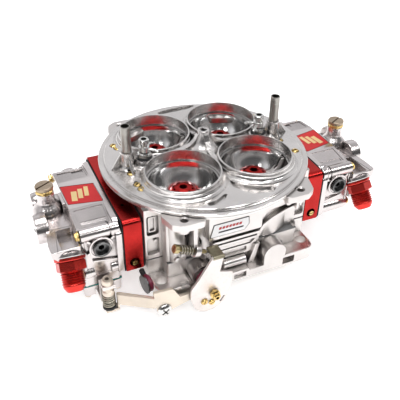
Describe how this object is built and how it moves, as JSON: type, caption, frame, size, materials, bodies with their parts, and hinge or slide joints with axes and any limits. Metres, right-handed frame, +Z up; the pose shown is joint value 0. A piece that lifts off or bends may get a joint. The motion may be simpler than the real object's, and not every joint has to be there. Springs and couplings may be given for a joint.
{
  "type": "carburetor",
  "caption": "Square-flange four-barrel downdraft racing carburetor with round air horn, red metering blocks, fuel bowls at both ends and linked throttle shafts.",
  "frame": {"origin": "centre of the mounting flange's bottom face", "axes": "+Z up through the air horn, +X towards the secondary fuel bowl, -Y towards the throttle-lever side"},
  "size_m": [0.314, 0.1948, 0.1422],
  "materials": {
    "cast_aluminium": "bead-blasted casting with machined, lightly brushed faces",
    "bowl_aluminium": "polished casting with machined faces",
    "polished_aluminium": "mirror-polished",
    "red_anodised": "red anodised aluminium, satin",
    "plate_brass": "brushed",
    "adjuster_brass": "machined, slightly dulled",
    "vent_steel": "drawn tube, satin",
    "nozzle_steel": "bright plated",
    "plug_steel": "machined",
    "needle_steel": "ground",
    "bolt_steel": "plated",
    "shaft_steel": "ground",
    "zinc_plate": "zinc-plated sheet, satin, slightly yellowed",
    "black_gasket": "matt coated sheet",
    "body_gasket_sheet": "matt sheet",
    "teal_diaphragm": "matt coated fabric",
    "float_black": "moulded foam",
    "maroon_plastic": "moulded"
  },
  "bodies": {
    "body": {"main_body": "cast_aluminium", "throttle_body": "cast_aluminium", "body_gasket": "body_gasket_sheet", "venturi_sleeve_primary_near": "polished_aluminium", "venturi_sleeve_primary_far": "polished_aluminium", "venturi_sleeve_secondary_near": "polished_aluminium", "venturi_sleeve_secondary_far": "polished_aluminium", "booster_primary_near": "red_anodised", "booster_primary_far": "red_anodised", "booster_secondary_near": "red_anodised", "booster_secondary_far": "red_anodised", "vent_tube_primary": "vent_steel", "pump_nozzle_primary": "nozzle_steel", "metering_block_primary": "red_anodised", "block_gasket_primary": "black_gasket", "bowl_gasket_primary": "black_gasket", "fuel_bowl_primary": "bowl_aluminium", "fuel_fitting_primary": "red_anodised", "sight_plug_primary": "plug_steel", "pump_diaphragm_primary": "teal_diaphragm", "pump_cover_primary": "bowl_aluminium", "vent_tube_secondary": "vent_steel", "pump_nozzle_secondary": "nozzle_steel", "metering_block_secondary": "red_anodised", "block_gasket_secondary": "black_gasket", "bowl_gasket_secondary": "black_gasket", "fuel_bowl_secondary": "bowl_aluminium", "fuel_fitting_secondary": "red_anodised", "sight_plug_secondary": "plug_steel", "pump_diaphragm_secondary": "teal_diaphragm", "pump_cover_secondary": "bowl_aluminium"},
    "primary_throttle_set": {"throttle_shaft_primary": "shaft_steel", "throttle_plate_primary_near": "plate_brass", "throttle_plate_primary_far": "plate_brass", "throttle_lever": "zinc_plate", "link_lever_primary": "zinc_plate", "pump_cam_primary": "maroon_plastic"},
    "secondary_throttle_set": {"throttle_shaft_secondary": "shaft_steel", "throttle_plate_secondary_near": "plate_brass", "throttle_plate_secondary_far": "plate_brass", "link_lever_secondary": "zinc_plate", "pump_cam_secondary": "maroon_plastic"},
    "link": {"throttle_link": "zinc_plate"},
    "pump_lever_set_primary": {"pump_lever_primary": "zinc_plate"},
    "pump_arm_set_primary": {"pump_arm_primary": "zinc_plate", "pump_arm_bolt_primary": "bolt_steel"},
    "float_set_primary": {"float_primary": "float_black"},
    "needle_set_primary": {"inlet_needle_primary": "needle_steel"},
    "adjuster_set_primary": {"needle_adjuster_primary": "adjuster_brass"},
    "mixture_set_primary_near": {"mixture_screw_primary_near": "adjuster_brass"},
    "mixture_set_primary_far": {"mixture_screw_primary_far": "adjuster_brass"},
    "pump_lever_set_secondary": {"pump_lever_secondary": "zinc_plate"},
    "pump_arm_set_secondary": {"pump_arm_secondary": "zinc_plate", "pump_arm_bolt_secondary": "bolt_steel"},
    "float_set_secondary": {"float_secondary": "float_black"},
    "needle_set_secondary": {"inlet_needle_secondary": "needle_steel"},
    "adjuster_set_secondary": {"needle_adjuster_secondary": "adjuster_brass"},
    "mixture_set_secondary_near": {"mixture_screw_secondary_near": "adjuster_brass"},
    "mixture_set_secondary_far": {"mixture_screw_secondary_far": "adjuster_brass"},
    "idle_screw_set": {"idle_screw": "adjuster_brass"}
  },
  "joints": [
    {"name": "primary_throttle", "type": "hinge", "parent": "body", "child": "primary_throttle_set", "pos_m": [-0.034, 0, 0.017], "axis": [0, 1, 0], "range_deg": [0, 75]},
    {"name": "secondary_throttle", "type": "hinge", "parent": "body", "child": "secondary_throttle_set", "pos_m": [0.034, 0, 0.017], "axis": [0, 1, 0], "range_deg": [0, 75]},
    {"name": "link_pivot", "type": "hinge", "parent": "primary_throttle_set", "child": "link", "pos_m": [-0.034, 0.094, 0.037], "axis": [0, 1, 0], "range_deg": [-75, 0]},
    {"name": "pump_lever_pivot_primary", "type": "hinge", "parent": "body", "child": "pump_lever_set_primary", "pos_m": [-0.073, -0.086, -0.002], "axis": [0, 1, 0], "range_deg": [0, 9]},
    {"name": "pump_arm_pivot_primary", "type": "hinge", "parent": "body", "child": "pump_arm_set_primary", "pos_m": [-0.1125, 0.008, -0.0036], "axis": [-1, 0, 0], "range_deg": [0, 5.25]},
    {"name": "float_pivot_primary", "type": "hinge", "parent": "body", "child": "float_set_primary", "pos_m": [-0.148, 0, 0.05], "axis": [0, 1, 0], "range_deg": [0, 9]},
    {"name": "needle_slide_primary", "type": "slide", "parent": "body", "child": "needle_set_primary", "axis": [0, 0, -1], "range_m": [0, 0.00095]},
    {"name": "adjuster_turn_primary", "type": "hinge", "parent": "body", "child": "adjuster_set_primary", "pos_m": [-0.142, 0, 0.08], "axis": [0, 0, 1], "range_deg": [-180, 180]},
    {"name": "mixture_turn_primary_near", "type": "hinge", "parent": "body", "child": "mixture_set_primary_near", "pos_m": [-0.086, -0.055, 0.029], "axis": [0, -1, 0], "range_deg": [-180, 180]},
    {"name": "mixture_turn_primary_far", "type": "hinge", "parent": "body", "child": "mixture_set_primary_far", "pos_m": [-0.086, 0.055, 0.029], "axis": [0, 1, 0], "range_deg": [-180, 180]},
    {"name": "pump_lever_pivot_secondary", "type": "hinge", "parent": "body", "child": "pump_lever_set_secondary", "pos_m": [0.073, 0.086, -0.002], "axis": [0, 1, 0], "range_deg": [-9, 0]},
    {"name": "pump_arm_pivot_secondary", "type": "hinge", "parent": "body", "child": "pump_arm_set_secondary", "pos_m": [0.1125, -0.008, -0.0036], "axis": [1, 0, 0], "range_deg": [0, 5.25]},
    {"name": "float_pivot_secondary", "type": "hinge", "parent": "body", "child": "float_set_secondary", "pos_m": [0.148, 0, 0.05], "axis": [0, -1, 0], "range_deg": [0, 9]},
    {"name": "needle_slide_secondary", "type": "slide", "parent": "body", "child": "needle_set_secondary", "axis": [0, 0, -1], "range_m": [0, 0.00095]},
    {"name": "adjuster_turn_secondary", "type": "hinge", "parent": "body", "child": "adjuster_set_secondary", "pos_m": [0.142, 0, 0.08], "axis": [0, 0, 1], "range_deg": [-180, 180]},
    {"name": "mixture_turn_secondary_near", "type": "hinge", "parent": "body", "child": "mixture_set_secondary_near", "pos_m": [0.086, -0.055, 0.029], "axis": [0, -1, 0], "range_deg": [-180, 180]},
    {"name": "mixture_turn_secondary_far", "type": "hinge", "parent": "body", "child": "mixture_set_secondary_far", "pos_m": [0.086, 0.055, 0.029], "axis": [0, 1, 0], "range_deg": [-180, 180]},
    {"name": "idle_screw_turn", "type": "hinge", "parent": "body", "child": "idle_screw_set", "pos_m": [-0.059, -0.08, 0.0538], "axis": [0.914, 0, -0.4058], "range_deg": [-180, 180]}
  ],
  "couplings": [
    {"joint": "secondary_throttle", "follows": "primary_throttle", "ratio": 1},
    {"joint": "link_pivot", "follows": "primary_throttle", "ratio": -1},
    {"joint": "pump_lever_pivot_primary", "follows": "primary_throttle", "ratio": 0.12},
    {"joint": "pump_arm_pivot_primary", "follows": "primary_throttle", "ratio": 0.07},
    {"joint": "needle_slide_primary", "follows": "float_pivot_primary", "m_per_rad": 0.006},
    {"joint": "pump_lever_pivot_secondary", "follows": "primary_throttle", "ratio": -0.12},
    {"joint": "pump_arm_pivot_secondary", "follows": "primary_throttle", "ratio": 0.07},
    {"joint": "needle_slide_secondary", "follows": "float_pivot_secondary", "m_per_rad": 0.006}
  ]
}
